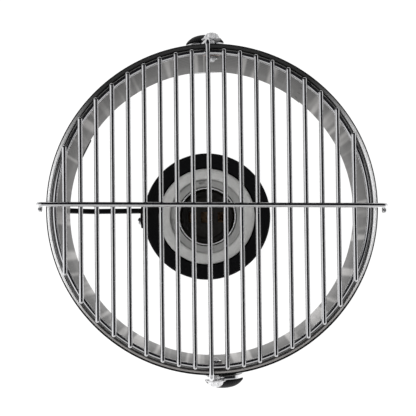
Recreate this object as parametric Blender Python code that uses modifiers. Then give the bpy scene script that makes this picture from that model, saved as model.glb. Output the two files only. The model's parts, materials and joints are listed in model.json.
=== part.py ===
"""Desk lamp in the shape of a desk fan: a short drum with a wire guard, tilting in a hoop stand.

Metres, +Z up. The origin is on the desk, under the middle of the hoop. X is the tilt axis. At rest the
head looks straight up, and the whole head is turned a little about Z against the tilt axis.
"""

import math

import bmesh
import bpy
from mathutils import Matrix, Vector

MM = 0.001
GAP = 0.3 * MM

# Drum: an open tube with a rolled bead round its front edge.
PIVOT_HEIGHT = 100 * MM
DRUM_RADIUS = 70 * MM
DRUM_WALL = 1.0 * MM
DRUM_DEPTH = 66 * MM
DRUM_ABOVE_PIVOT = 32 * MM
BEAD_RADIUS = 1.2 * MM
DRUM_STEPS = 80

# Guard: parallel wires on a ring, with one wire across them.
WIRE_RADIUS = 1.0 * MM
WIRE_COUNT = 19
WIRE_PITCH = 6.9 * MM
WIRE_SHIFT = -1.0 * MM
WIRE_END_RADIUS = 69.0 * MM
GUARD_RING_RADIUS = 67.6 * MM
CROSS_SHIFT = -2.0 * MM
CROSS_REACH = 74.2 * MM
CROSS_SKEW = math.radians(-0.85)
HOOK_RADIUS = 72.8 * MM
HOOK_LEAN = 2.0 * MM
HOOK_DROP = 12.0 * MM

# Guard screws: one at each end of the middle wire.
SCREW_RADIUS = 1.5 * MM
SCREW_SHIFT = 0.7 * MM
SCREW_BELOW_FRONT = 8.0 * MM
SCREW_HEAD_RADIUS = 74.1 * MM
SCREW_TIP_RADIUS = 64.6 * MM

# Lampholder and its cup.
HOLDER_SHIFT = Vector((1.2 * MM, -2.25 * MM, 0))
CUP_RADIUS = 32.1 * MM
CUP_FRONT = 46.0 * MM
CUP_REAR = 12.0 * MM
CUP_WALL = 1.2 * MM
PORCELAIN_RADIUS = 24.2 * MM
PORCELAIN_FRONT = 48.0 * MM
SHELL_RADIUS = 14.7 * MM
ARM_THICKNESS = 2.2 * MM
ARM_DEPTH = 16.0 * MM
ARM_LOW = 28.0 * MM
ARM_SHIFT = -2.2 * MM
ARM_SCREW_RADIUS = 1.0 * MM
ARM_SCREW_SHIFT = 2.0 * MM
ARM_SCREW_HEIGHTS = (32.0 * MM, 40.0 * MM)

# Stand: a round hoop and two flat legs.
HOOP_RADIUS = 82.0 * MM
HOOP_ROD = 2.5 * MM
HOOP_HEIGHT = 5.0 * MM
LEG_WIDTH = 17.5 * MM
LEG_THICKNESS = 2.0 * MM
LEG_INNER = 74.4 * MM
SPLAY = 2.6 * MM
SPLAY_HEIGHT = 52 * MM
KNOB_RADIUS = 8.75 * MM
KNOB_LENGTH = 4.1 * MM
STUD_RADIUS = 2.5 * MM
HEAD_TURN = math.radians(-2.6)
HEAD_SHIFT = -1.2 * MM

DRUM_FRONT = PIVOT_HEIGHT + DRUM_ABOVE_PIVOT
DRUM_REAR = DRUM_FRONT - DRUM_DEPTH
SCREW_HEIGHT = DRUM_FRONT - SCREW_BELOW_FRONT
WIRE_HEIGHT = DRUM_FRONT + GAP + WIRE_RADIUS
RING_HEIGHT = WIRE_HEIGHT - 2 * WIRE_RADIUS - GAP
CROSS_HEIGHT = WIRE_HEIGHT + 2 * WIRE_RADIUS + GAP


def clear_scene():
    for item in list(bpy.data.objects):
        bpy.data.objects.remove(item, do_unlink=True)


def new_collection(name, hidden=False):
    made = bpy.data.collections.new(name)
    bpy.context.scene.collection.children.link(made)
    made.hide_render = hidden
    return made


def new_material(name, colour, roughness, metallic):
    made = bpy.data.materials.new(name)
    made.use_nodes = True
    shader = made.node_tree.nodes["Principled BSDF"]
    shader.inputs["Base Color"].default_value = (*colour, 1)
    shader.inputs["Roughness"].default_value = roughness
    shader.inputs["Metallic"].default_value = metallic
    return made


clear_scene()
PARTS = new_collection("desk_fan_lamp")
CUTTERS = new_collection("desk_fan_lamp_cutters")

CHROME = new_material("chrome", (0.78, 0.78, 0.8), 0.12, 1)
ALUMINIUM = new_material("brushed_aluminium", (0.5, 0.49, 0.48), 0.35, 1)
BLACK_PAINT = new_material("black_paint", (0.01, 0.01, 0.011), 0.55, 0)
BLACK_PLASTIC = new_material("black_plastic", (0.012, 0.012, 0.013), 0.4, 0)
PORCELAIN = new_material("porcelain", (0.45, 0.45, 0.44), 0.3, 0)
BRASS = new_material("brass", (0.6, 0.42, 0.2), 0.35, 1)
FIBRE = new_material("fibre", (0.55, 0.46, 0.43), 0.8, 0)
RUBBER = new_material("rubber", (0.02, 0.02, 0.02), 0.85, 0)


def new_empty(name, place=(0, 0, 0), turn=0.0):
    made = bpy.data.objects.new(name, None)
    made.location = place
    made.rotation_euler = (0, 0, turn)
    PARTS.objects.link(made)
    return made


HEAD = new_empty("head_axis", (0, HEAD_SHIFT, 0), HEAD_TURN)
STAND = new_empty("stand_axis")


def finish(made, material, parent=None, cutter=False):
    """Link an object, or hide it as a cutter, and shade it smooth between its edges."""
    (CUTTERS if cutter else PARTS).objects.link(made)
    if parent is not None:
        made.parent = parent
    if cutter:
        made.hide_render = True
        made.display_type = "WIRE"
    else:
        made.data.materials.append(material)
    if made.type == "MESH":
        made.data.shade_smooth()
        made.data.set_sharp_from_angle(angle=math.radians(35))
    return made


def mesh_object(name, shape):
    """An object from a bmesh, whose normals are made to point out."""
    bmesh.ops.recalc_face_normals(shape, faces=shape.faces[:])
    data = bpy.data.meshes.new(name)
    shape.to_mesh(data)
    shape.free()
    return bpy.data.objects.new(name, data)


def rod(name, start, end, radius, material, parent=None, sides=16, cutter=False):
    """A straight round bar from start to end."""
    start, end = Vector(start), Vector(end)
    along = end - start
    turn = along.to_track_quat("Z", "Y").to_matrix().to_4x4()
    shape = bmesh.new()
    bmesh.ops.create_cone(
        shape, cap_ends=True, segments=sides, depth=along.length,
        radius1=radius, radius2=radius, matrix=Matrix.Translation((start + end) / 2) @ turn,
    )
    return finish(mesh_object(name, shape), material, parent, cutter)


def box(name, low, high, material, parent=None, cutter=False, bevel=0.0):
    """A box between two corners, with its upright and level edges rounded if asked."""
    low, high = Vector(low), Vector(high)
    size = high - low
    shape = bmesh.new()
    place = Matrix.Translation((low + high) / 2) @ Matrix.Diagonal((*size, 1))
    bmesh.ops.create_cube(shape, size=1, matrix=place)
    if bevel:
        bmesh.ops.bevel(
            shape, geom=shape.edges[:], offset=bevel, segments=2, profile=0.5,
            affect="EDGES", material=-1,
        )
    return finish(mesh_object(name, shape), material, parent, cutter)


def turned(name, outline, material, parent=None, steps=32, place=None, cutter=False):
    """A closed outline of (radius, height) points turned about Z, then placed by a matrix."""
    shape = bmesh.new()
    points = [shape.verts.new((radius, 0, height)) for radius, height in outline]
    edges = [
        shape.edges.new((point, points[(index + 1) % len(points)]))
        for index, point in enumerate(points)
        if max(outline[index][0], outline[(index + 1) % len(points)][0]) > 0
    ]
    bmesh.ops.spin(
        shape, geom=points + edges, cent=(0, 0, 0), axis=(0, 0, 1),
        angle=2 * math.pi, steps=steps, use_merge=True,
    )
    bmesh.ops.remove_doubles(shape, verts=shape.verts[:], dist=1e-6)
    if place is not None:
        bmesh.ops.transform(shape, matrix=place, verts=shape.verts[:])
    return finish(mesh_object(name, shape), material, parent, cutter)


def bent_rod(name, points, radius, material, parent=None):
    """A round wire through a list of points."""
    curve = bpy.data.curves.new(name, "CURVE")
    curve.dimensions = "3D"
    curve.bevel_depth = radius
    curve.bevel_resolution = 2
    curve.use_fill_caps = True
    line = curve.splines.new("POLY")
    line.points.add(len(points) - 1)
    for spot, point in zip(line.points, points):
        spot.co = (*point, 1)
    return finish(bpy.data.objects.new(name, curve), material, parent)


def ring(name, radius, rod_radius, height, material, parent=None, steps=72, sides=8, cutter=False):
    """A round ring lying level."""
    outline = [
        (
            radius + rod_radius * math.cos(2 * math.pi * i / sides),
            height + rod_radius * math.sin(2 * math.pi * i / sides),
        )
        for i in range(sides)
    ]
    return turned(name, outline, material, parent, steps, cutter=cutter)


def arc(centre, radius, start, end, steps):
    """Points (u, v) on an arc, with angles in degrees."""
    angles = [math.radians(start + (end - start) * i / steps) for i in range(steps + 1)]
    return [(centre[0] + radius * math.cos(a), centre[1] + radius * math.sin(a)) for a in angles]


def cut(target, *cutters):
    """Take hidden cutters out of an object."""
    for index, cutter in enumerate(cutters):
        modifier = target.modifiers.new(f"cut_{index}", "BOOLEAN")
        modifier.operation = "DIFFERENCE"
        modifier.object = cutter
        modifier.solver = "EXACT"


def join(target, *others):
    """Union hidden helpers into an object."""
    for index, other in enumerate(others):
        modifier = target.modifiers.new(f"join_{index}", "BOOLEAN")
        modifier.operation = "UNION"
        modifier.object = other
        modifier.solver = "EXACT"


def along_x(side, start=0.0, y=0.0, z=0.0):
    """Places a shape turned about Z so that its axis runs outwards along X on one side."""
    turn = Matrix.Rotation(math.radians(90 * side), 4, "Y")
    return Matrix.Translation((side * start, y, z)) @ turn


def make_drum():
    """The sheet drum, with holes for the guard screws."""
    inner = DRUM_RADIUS - DRUM_WALL
    bead_centre = (inner + BEAD_RADIUS, DRUM_FRONT - BEAD_RADIUS)
    bead = arc(bead_centre, BEAD_RADIUS, -60, 170, 8)
    outline = [(inner, DRUM_REAR), (DRUM_RADIUS, DRUM_REAR)]
    outline += [(DRUM_RADIUS, bead_centre[1] - 1.3 * BEAD_RADIUS), *bead]
    drum = turned("drum_shell", outline, ALUMINIUM, HEAD, DRUM_STEPS)
    reach = DRUM_RADIUS + 5 * MM
    screw_hole = SCREW_RADIUS + 0.4 * MM
    level = SCREW_HEIGHT
    screw_holes = [
        rod(f"screw_hole_{label}", (side * (reach - 15 * MM), SCREW_SHIFT, level),
            (side * reach, SCREW_SHIFT, level), screw_hole, None, HEAD, cutter=True)
        for label, side in (("back", -1), ("front", 1))
    ]
    cut(drum, *screw_holes)


def make_guard():
    """The guard ring, the parallel wires, and the cross wire with its hooked ends."""
    ring("guard_ring", GUARD_RING_RADIUS, WIRE_RADIUS, RING_HEIGHT, CHROME, HEAD)
    middle = WIRE_COUNT // 2
    for index in range(WIRE_COUNT):
        across = (index - middle) * WIRE_PITCH + WIRE_SHIFT
        name = f"guard_wire_{index + 1:02d}"
        if index == middle:
            make_middle_wire(name, across)
            continue
        half = math.sqrt(WIRE_END_RADIUS**2 - across**2)
        rod(name, (-half, across, WIRE_HEIGHT), (half, across, WIRE_HEIGHT),
            WIRE_RADIUS, CHROME, HEAD, sides=10)
    make_cross_wire()


def make_middle_wire(name, across):
    """The middle wire runs over the bead and drops beside each guard screw."""
    bend = 2.0 * MM
    drop = [
        (HOOK_RADIUS + u - bend, WIRE_HEIGHT + v - bend)
        for u, v in arc((0, 0), bend, 90, 0, 4)
    ]
    low = WIRE_HEIGHT - HOOK_DROP
    lean = across - HOOK_LEAN
    right = [(u, across, v) for u, v in drop] + [(HOOK_RADIUS, lean, low)]
    left = [(-x, y, z) for x, y, z in reversed(right)]
    bent_rod(name, left + right, WIRE_RADIUS, CHROME, HEAD)


def make_cross_wire():
    """The wire across the guard, whose ends hook over the bead and curl to one side."""
    bend = 2.0 * MM
    end = [(CROSS_REACH - bend + u, CROSS_HEIGHT - bend + v) for u, v in arc((0, 0), bend, 90, 0, 4)]
    right = [(CROSS_SHIFT, y, z) for y, z in end]
    curl = [
        (CROSS_SHIFT + 0.6 * MM, CROSS_REACH, CROSS_HEIGHT - 5 * MM),
        (CROSS_SHIFT + 2.2 * MM, CROSS_REACH, CROSS_HEIGHT - 6.6 * MM),
        (CROSS_SHIFT + 3.6 * MM, CROSS_REACH, CROSS_HEIGHT - 6.2 * MM),
    ]
    right += curl
    left = [(x, -y, z) for x, y, z in reversed(right)]
    wire = bent_rod("cross_wire", left + right, WIRE_RADIUS, CHROME, HEAD)
    turn = Matrix.Rotation(CROSS_SKEW, 4, "Z")
    wire.data.transform(turn)


def make_guard_screws():
    """A domed screw outside each end of the middle wire, with its nut and washer inside the drum."""
    inner = DRUM_RADIUS - DRUM_WALL
    washer = [(SCREW_RADIUS + GAP, 0), (4.3 * MM, 0), (4.3 * MM, 0.9 * MM), (SCREW_RADIUS + GAP, 0.9 * MM)]
    for label, side in (("back", -1), ("front", 1)):
        place = along_x(side, 0, SCREW_SHIFT, SCREW_HEIGHT)
        head = SCREW_HEAD_RADIUS
        outline = [(0, SCREW_TIP_RADIUS), (SCREW_RADIUS - 0.4 * MM, SCREW_TIP_RADIUS)]
        outline += [(SCREW_RADIUS, SCREW_TIP_RADIUS + 0.4 * MM), (SCREW_RADIUS, head)]
        outline += [(4.5 * MM, head), (4.5 * MM, head + 0.8 * MM), (3.6 * MM, head + 1.0 * MM)]
        outline += [(3.4 * MM, head + 2.0 * MM), (2.3 * MM, head + 2.9 * MM), (0, head + 3.2 * MM)]
        turned(f"guard_screw_{label}", outline, CHROME, HEAD, 20, place)
        washer_place = along_x(side, inner - 1.35 * MM, SCREW_SHIFT, SCREW_HEIGHT)
        turned(f"fibre_washer_{label}", washer, FIBRE, HEAD, 16, washer_place)
        nut_place = along_x(side, inner - 3.2 * MM, SCREW_SHIFT, SCREW_HEIGHT)
        bore = SCREW_RADIUS + GAP
        nut = [(bore, 0), (2.7 * MM, 0), (2.7 * MM, 1.5 * MM), (bore, 1.5 * MM)]
        turned(f"guard_nut_{label}", nut, CHROME, HEAD, 6, nut_place)


def make_pivots():
    """On each side: a stud welded to the drum, a spacer, a leg, a foot screw and a clamp knob."""
    for label, side in (("back", -1), ("front", 1)):
        place = along_x(side, 0, 0, PIVOT_HEIGHT)
        weld = DRUM_RADIUS + GAP
        flange = weld + 0.9 * MM
        stud_end = LEG_INNER + LEG_THICKNESS + 1.6 * MM
        stud = [(0, weld), (4.2 * MM, weld), (4.2 * MM, flange), (STUD_RADIUS, flange)]
        stud += [(STUD_RADIUS, stud_end), (0, stud_end)]
        turned(f"pivot_stud_{label}", stud, CHROME, STAND, 20, place)
        bore = STUD_RADIUS + GAP
        start, end = flange + GAP, LEG_INNER - GAP
        spacer = [(bore, start), (6.0 * MM, start), (6.0 * MM, end), (bore, end)]
        turned(f"pivot_spacer_{label}", spacer, BLACK_PLASTIC, STAND, 24, place)
        make_knob(label, place)
        make_leg(label, side)


def make_knob(label, place):
    """A low domed knob with a blind bore for the stud."""
    start = LEG_INNER + LEG_THICKNESS + GAP
    bore = STUD_RADIUS + GAP
    depth = start + 1.9 * MM
    dome = [(0, 0.3), (0.75, 1.35), (2.25, 2.6), (4.15, 3.5), (6.25, 3.95)]
    outline = [(bore, start), (KNOB_RADIUS - 0.3 * MM, start)]
    outline += [(KNOB_RADIUS - inward * MM, start + rise * MM) for inward, rise in dome]
    outline += [(0, start + KNOB_LENGTH)]
    outline += [(0, depth), (bore, depth)]
    turned(f"clamp_knob_{label}", outline, BLACK_PLASTIC, STAND, 32, place)


def make_leg(label, side):
    """A flat leg: round top on the stud, a slight splay, then a foot turned out over the hoop."""
    foot_top = HOOP_HEIGHT + HOOP_ROD + GAP + LEG_THICKNESS
    foot_middle = foot_top - LEG_THICKNESS / 2
    middle = LEG_INNER + LEG_THICKNESS / 2
    foot_end = HOOP_RADIUS + 5.0 * MM
    shape = bmesh.new()
    path = [(middle, PIVOT_HEIGHT), (middle, SPLAY_HEIGHT)]
    path += [(middle + SPLAY, foot_middle + 1.5 * MM), (middle + SPLAY + 1.1 * MM, foot_middle)]
    path += [(foot_end, foot_middle)]
    verts = [shape.verts.new((side * x, -LEG_WIDTH / 2, z)) for x, z in path]
    edges = [shape.edges.new(pair) for pair in zip(verts, verts[1:])]
    made = bmesh.ops.extrude_edge_only(shape, edges=edges)
    moved = [item for item in made["geom"] if isinstance(item, bmesh.types.BMVert)]
    bmesh.ops.translate(shape, vec=(0, LEG_WIDTH, 0), verts=moved)
    leg = finish(mesh_object(f"leg_{label}", shape), CHROME, STAND)
    wall = leg.modifiers.new("thickness", "SOLIDIFY")
    wall.thickness = LEG_THICKNESS
    wall.offset = 0
    wall.use_even_offset = True
    top = rod(f"leg_top_{label}", (side * LEG_INNER, 0, PIVOT_HEIGHT),
              (side * (LEG_INNER + LEG_THICKNESS), 0, PIVOT_HEIGHT), LEG_WIDTH / 2,
              None, STAND, sides=32, cutter=True)
    hole = rod(f"leg_hole_{label}", (side * (LEG_INNER - 3 * MM), 0, PIVOT_HEIGHT),
               (side * (LEG_INNER + 6 * MM), 0, PIVOT_HEIGHT), STUD_RADIUS + GAP,
               None, STAND, cutter=True)
    foot_hole = rod(f"foot_hole_{label}", (side * HOOP_RADIUS, 0, HOOP_HEIGHT),
                    (side * HOOP_RADIUS, 0, foot_top + 3 * MM), 1.8 * MM, None, STAND, cutter=True)
    join(leg, top)
    cut(leg, hole, foot_hole)
    head = foot_top + GAP
    screw = [(0, HOOP_HEIGHT), (1.4 * MM, HOOP_HEIGHT), (1.4 * MM, head), (2.2 * MM, head)]
    screw += [(2.1 * MM, head + 1.0 * MM), (1.3 * MM, head + 1.6 * MM), (0, head + 1.8 * MM)]
    place = Matrix.Translation((side * HOOP_RADIUS, 0, 0))
    turned(f"foot_screw_{label}", screw, CHROME, STAND, 16, place)


def make_hoop():
    """The hoop over the desk, tapped for the foot screws, in four channel-shaped feet."""
    hoop = ring("base_hoop", HOOP_RADIUS, HOOP_ROD, HOOP_HEIGHT, CHROME, STAND, 64, 10)
    taps = [
        rod(f"hoop_tap_{label}", (side * HOOP_RADIUS, 0, HOOP_HEIGHT - 0.5 * MM),
            (side * HOOP_RADIUS, 0, HOOP_HEIGHT + 6 * MM), 1.8 * MM, None, STAND, cutter=True)
        for label, side in (("back", -1), ("front", 1))
    ]
    cut(hoop, *taps)
    foot_bore = ring("foot_bore", HOOP_RADIUS, HOOP_ROD + 0.4 * MM, HOOP_HEIGHT, None, STAND,
                     64, 10, cutter=True)
    half_length, half_width, top = 7.0 * MM, 3.7 * MM, HOOP_HEIGHT + 0.6 * MM
    for index, angle in enumerate((60, 120, 240, 300)):
        turn = Matrix.Rotation(math.radians(angle), 4, "Z")
        foot = box(f"rubber_foot_{index + 1}", (HOOP_RADIUS - half_width, -half_length, 0),
                   (HOOP_RADIUS + half_width, half_length, top), RUBBER, STAND, bevel=0.35 * MM)
        foot.data.transform(turn)
        cut(foot, foot_bore)


def holder_place():
    return Matrix.Translation(HOLDER_SHIFT)


def make_cup():
    """The black cup behind the lampholder, open at the front round the porcelain."""
    mouth = PORCELAIN_RADIUS + 0.6 * MM
    inner = CUP_RADIUS - CUP_WALL
    waist = CUP_REAR + 9 * MM
    rear = 19 * MM
    outline = [(mouth, CUP_FRONT - CUP_WALL), (mouth, CUP_FRONT)]
    outline += arc((CUP_RADIUS - 1.6 * MM, CUP_FRONT - 1.6 * MM), 1.6 * MM, 90, 0, 3)
    outline += [(CUP_RADIUS, waist), (rear + 4 * MM, CUP_REAR + 1.5 * MM), (rear, CUP_REAR)]
    outline += [(5.2 * MM, CUP_REAR), (5.2 * MM, CUP_REAR + CUP_WALL), (rear, CUP_REAR + CUP_WALL)]
    outline += [(inner, waist + 0.6 * MM), (inner, CUP_FRONT - CUP_WALL)]
    cup = turned("lamp_cup", outline, BLACK_PAINT, HEAD, 48, holder_place())
    holes = []
    for index, height in enumerate(ARM_SCREW_HEIGHTS):
        start = HOLDER_SHIFT + Vector((ARM_SCREW_SHIFT, -CUP_RADIUS + 4 * MM, height))
        holes.append(rod(f"cup_hole_{index + 1}", start, start + Vector((0, -8 * MM, 0)),
                         ARM_SCREW_RADIUS + GAP, None, HEAD, cutter=True))
    cut(cup, *holes)


def make_porcelain():
    """The porcelain lampholder: a rounded ring, a recess, the shell's seat and a floor for the contacts."""
    front = PORCELAIN_FRONT
    rim_in, seat = 18.6 * MM, SHELL_RADIUS + 0.6 * MM
    recess = front - 3.5 * MM
    rear = front - 30 * MM
    floor = front - 24 * MM
    outer = PORCELAIN_RADIUS
    outline = [(rim_in, recess), (rim_in, front - 1.2 * MM), (rim_in + 0.9 * MM, front)]
    outline += arc((outer - 2.2 * MM, front - 2.2 * MM), 2.2 * MM, 90, 0, 3)
    outline += [(outer, rear + 6 * MM), (outer - 3 * MM, rear), (3.2 * MM, rear)]
    outline += [(3.2 * MM, floor), (seat, floor), (seat, recess)]
    turned("porcelain_body", outline, PORCELAIN, HEAD, 40, holder_place())
    return recess, floor


def make_contacts(recess, floor):
    """The screw shell, the base and contacts in it, and the cable inlet behind the cup."""
    place = holder_place()
    wave, turns = 0.7 * MM, 4
    low, high = floor + 5 * MM, recess + 2.0 * MM
    steps = 2 * turns
    outer = SHELL_RADIUS
    rises = [low + (high - low) * i / steps for i in range(steps + 1)]
    outline = [(outer - (wave if i % 2 else 0), height) for i, height in enumerate(rises)]
    wall = 0.45 * MM
    inside = [(radius - wall, height) for radius, height in reversed(outline)]
    turned("screw_shell", outline + inside, BRASS, HEAD, 32, place)
    base = [(0, floor + GAP), (11.0 * MM, floor + GAP), (11.0 * MM, floor + 2.4 * MM), (0, floor + 2.4 * MM)]
    turned("contact_base", base, PORCELAIN, HEAD, 24, place)
    stem = floor + 2.7 * MM
    shift = HOLDER_SHIFT
    box("centre_contact", shift + Vector((-3.4 * MM, -3.6 * MM, stem)),
        shift + Vector((3.4 * MM, 3.6 * MM, stem + 3.2 * MM)), BRASS, HEAD, bevel=0.5 * MM)
    for label, side in (("left", -1), ("right", 1)):
        spread = sorted((side * 5.4 * MM, side * 9.6 * MM))
        box(f"side_contact_{label}", shift + Vector((-3.2 * MM, spread[0], stem)),
            shift + Vector((3.2 * MM, spread[1], stem + 1.2 * MM)), BRASS, HEAD, bevel=0.3 * MM)
    nipple = [(3.4 * MM, CUP_REAR - 4 * MM), (4.6 * MM, CUP_REAR - 4 * MM)]
    nipple += [(4.6 * MM, CUP_REAR + 5.4 * MM), (3.4 * MM, CUP_REAR + 5.4 * MM)]
    turned("threaded_nipple", nipple, BRASS, HEAD, 20, place)
    grommet_low = CUP_REAR - 4.6 * MM
    grommet = [(4.9 * MM, grommet_low), (8.0 * MM, grommet_low), (8.4 * MM, grommet_low + 0.8 * MM)]
    grommet += [(8.4 * MM, CUP_REAR - GAP), (4.9 * MM, CUP_REAR - GAP)]
    turned("cable_inlet_nut", grommet, BLACK_PLASTIC, HEAD, 20, place)


def sector(name, radius, thickness, low, high, centre, half_width):
    """A curved plate on the -Y side of an upright axis, as a hidden helper."""
    outer = radius + thickness
    outline = [(radius, low), (outer, low), (outer, high), (radius, high)]
    plate = turned(name, outline, None, HEAD, 80, Matrix.Translation(centre), cutter=True)
    reach = 2 * outer
    keep = box(f"{name}_keep", centre + Vector((-half_width, -reach, low - MM)),
               centre + Vector((half_width, -radius / 2, high + MM)), None, HEAD, cutter=True)
    modifier = plate.modifiers.new("keep", "BOOLEAN")
    modifier.operation = "INTERSECT"
    modifier.object = keep
    modifier.solver = "EXACT"
    return plate


def make_arm():
    """The flat black arm on edge: a tab spot-welded to the drum and a foot screwed to the cup."""
    tab_in = DRUM_RADIUS + 0.4 * MM
    tab_out = tab_in + ARM_THICKNESS
    tab_low, tab_high = DRUM_REAR - 2 * MM, DRUM_REAR + 16 * MM
    low, high = ARM_LOW, ARM_LOW + ARM_DEPTH
    foot_in = CUP_RADIUS + GAP
    cup_end = HOLDER_SHIFT.y - foot_in - 0.6 * MM
    outline = [(cup_end, low), (-0.86 * tab_out, low), (-tab_out + 0.4 * MM, low + ARM_DEPTH)]
    outline += [(-tab_out + 0.4 * MM, tab_high - 1 * MM), (-tab_in - 0.4 * MM, tab_high - 1 * MM)]
    outline += [(-tab_in - 0.4 * MM, DRUM_REAR - 5 * MM), (-0.84 * tab_out, high), (cup_end, high)]
    shape = bmesh.new()
    left = ARM_SHIFT - ARM_THICKNESS / 2
    face = shape.faces.new([shape.verts.new((left, y, z)) for y, z in outline])
    made = bmesh.ops.extrude_face_region(shape, geom=[face])
    moved = [item for item in made["geom"] if isinstance(item, bmesh.types.BMVert)]
    bmesh.ops.translate(shape, vec=(ARM_THICKNESS, 0, 0), verts=moved)
    arm = finish(mesh_object("lamp_arm", shape), BLACK_PAINT, HEAD)
    tab = sector("arm_tab", tab_in, ARM_THICKNESS, tab_low, tab_high, Vector(), 8 * MM)
    foot = sector("arm_foot", foot_in, 1.5 * MM, low, high, HOLDER_SHIFT, 5.5 * MM)
    join(arm, tab, foot)
    holes = []
    for index, height in enumerate(ARM_SCREW_HEIGHTS):
        start = HOLDER_SHIFT + Vector((ARM_SCREW_SHIFT, -CUP_RADIUS + 4 * MM, height))
        holes.append(rod(f"arm_hole_{index + 1}", start, start + Vector((0, -8 * MM, 0)),
                         ARM_SCREW_RADIUS + GAP, None, HEAD, cutter=True))
        head = CUP_RADIUS + 2.1 * MM
        radius = ARM_SCREW_RADIUS
        screw = [(0, head - 5.5 * MM), (radius, head - 5.5 * MM), (radius, head), (1.9 * MM, head)]
        screw += [(1.8 * MM, head + 0.7 * MM), (1.1 * MM, head + 1.2 * MM), (0, head + 1.3 * MM)]
        turn = Matrix.Rotation(math.radians(90), 4, "X")
        place = Matrix.Translation(HOLDER_SHIFT + Vector((ARM_SCREW_SHIFT, 0, height))) @ turn
        turned(f"arm_screw_{index + 1}", screw, CHROME, HEAD, 12, place)
    cut(arm, *holes)


make_drum()
make_guard()
make_guard_screws()
make_pivots()
make_hoop()
make_cup()
make_contacts(*make_porcelain())
make_arm()
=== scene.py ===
"""Fine meshes and finishes for a desk lamp shaped like a small fan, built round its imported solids."""

import json
import math

import bmesh
import bpy
from bpy.props import FloatProperty, FloatVectorProperty, IntProperty, PointerProperty
from mathutils import Matrix, Vector

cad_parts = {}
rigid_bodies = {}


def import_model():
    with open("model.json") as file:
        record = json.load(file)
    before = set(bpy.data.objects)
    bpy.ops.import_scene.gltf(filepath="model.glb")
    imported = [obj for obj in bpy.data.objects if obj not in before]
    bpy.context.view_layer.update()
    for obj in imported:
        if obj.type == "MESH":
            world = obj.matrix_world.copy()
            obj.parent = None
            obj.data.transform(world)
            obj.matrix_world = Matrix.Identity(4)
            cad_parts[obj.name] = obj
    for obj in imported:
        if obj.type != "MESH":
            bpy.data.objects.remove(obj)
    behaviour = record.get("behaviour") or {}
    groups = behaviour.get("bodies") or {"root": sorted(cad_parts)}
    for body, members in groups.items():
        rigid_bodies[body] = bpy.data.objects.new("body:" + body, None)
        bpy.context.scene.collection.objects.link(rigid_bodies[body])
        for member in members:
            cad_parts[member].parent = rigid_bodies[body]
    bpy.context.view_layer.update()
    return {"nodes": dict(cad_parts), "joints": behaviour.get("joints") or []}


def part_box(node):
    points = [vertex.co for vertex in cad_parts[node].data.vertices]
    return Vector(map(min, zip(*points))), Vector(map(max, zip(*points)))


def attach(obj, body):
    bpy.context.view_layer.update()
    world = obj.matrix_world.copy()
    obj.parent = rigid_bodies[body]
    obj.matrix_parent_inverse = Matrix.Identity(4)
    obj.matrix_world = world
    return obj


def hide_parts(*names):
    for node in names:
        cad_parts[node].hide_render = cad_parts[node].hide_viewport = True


bl_info = {
    "name": "Fan-shaped Desk Lamp",
    "version": (1, 0, 0),
    "blender": (4, 5, 0),
    "location": "View3D > Sidebar > Fan Lamp",
    "description": "Builds the fine pieces and finishes of a fan-shaped desk lamp",
    "category": "Object",
}

for leftover in list(bpy.data.objects):
    bpy.data.objects.remove(leftover, do_unlink=True)

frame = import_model()
MM = 0.001
UP = Vector((0, 0, 1))
SAME_PLACE = 1e-7
SMOOTH_ANGLE = 35
SIDES = (("back", -1), ("front", 1))


# ---------------------------------------------------------------- places read from the frame

def joint(name):
    return next(item for item in frame["joints"] if item["name"] == name)


def head_matrix():
    """Places the head's own directions: turned as the guard screws are, about the drum's middle."""
    axis = Vector(joint("screw_front_turn")["axis"])
    low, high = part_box("drum_shell")
    middle = (Vector(low) + Vector(high)) / 2
    return Matrix.Translation((middle.x, middle.y, 0)) @ Matrix.Rotation(math.atan2(axis.y, axis.x), 4, "Z")


HEAD_MATRIX = head_matrix()
PIVOT = Vector(joint("head_tilt")["pos_m"])


def head_box(node):
    """Lowest and highest corner of a node, in the head's own directions."""
    back = HEAD_MATRIX.inverted()
    points = [back @ vertex.co for vertex in frame["nodes"][node].data.vertices]
    return (
        Vector(min(point[i] for point in points) for i in range(3)),
        Vector(max(point[i] for point in points) for i in range(3)),
    )


def middle_of(node):
    low, high = head_box(node)
    return (low + high) / 2


def radii_about(node, centre=Vector((0, 0, 0))):
    """Smallest and largest distance of a node's points from an upright axis."""
    back = HEAD_MATRIX.inverted()
    found = [(back @ vertex.co - centre).xy.length for vertex in frame["nodes"][node].data.vertices]
    return min(found), max(found)


DRUM_LOW, DRUM_HIGH = head_box("drum_shell")
DRUM_IN, BEAD_OUT = radii_about("drum_shell")
WALL = 1.0 * MM
HOLDER = middle_of("lamp_cup")
HOLDER.z = 0
WIRE_NODES = sorted(name for name in frame["nodes"] if name.startswith("guard_wire_"))
MIDDLE_WIRE = WIRE_NODES[len(WIRE_NODES) // 2]
SCREW_Y = middle_of("guard_screw_front").y
SCREW_Z = middle_of("guard_screw_front").z


def cross_line():
    """Where the cross wire's middle is along X, and how far it is skewed."""
    back = HEAD_MATRIX.inverted()
    points = [back @ vertex.co for vertex in frame["nodes"]["cross_wire"].data.vertices]
    top = max(point.z for point in points)
    level = [point for point in points if point.z > top - 1.2 * MM]
    ends = [
        [point for point in level if side * point.y > 0.9 * max(side * other.y for other in level)]
        for side in (-1, 1)
    ]
    left, right = (sum(group, Vector()) / len(group) for group in ends)
    return (left.x + right.x) / 2, math.atan2(left.x - right.x, right.y - left.y)


CROSS_LINE = cross_line()


# ---------------------------------------------------------------- settings

def size_property(name, description, default):
    return FloatProperty(name=name, description=description, default=default, unit="LENGTH", precision=5)


def colour_property(name, description, default):
    return FloatVectorProperty(
        name=name, description=description, default=default, subtype="COLOR", size=3, min=0, max=1)


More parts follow.
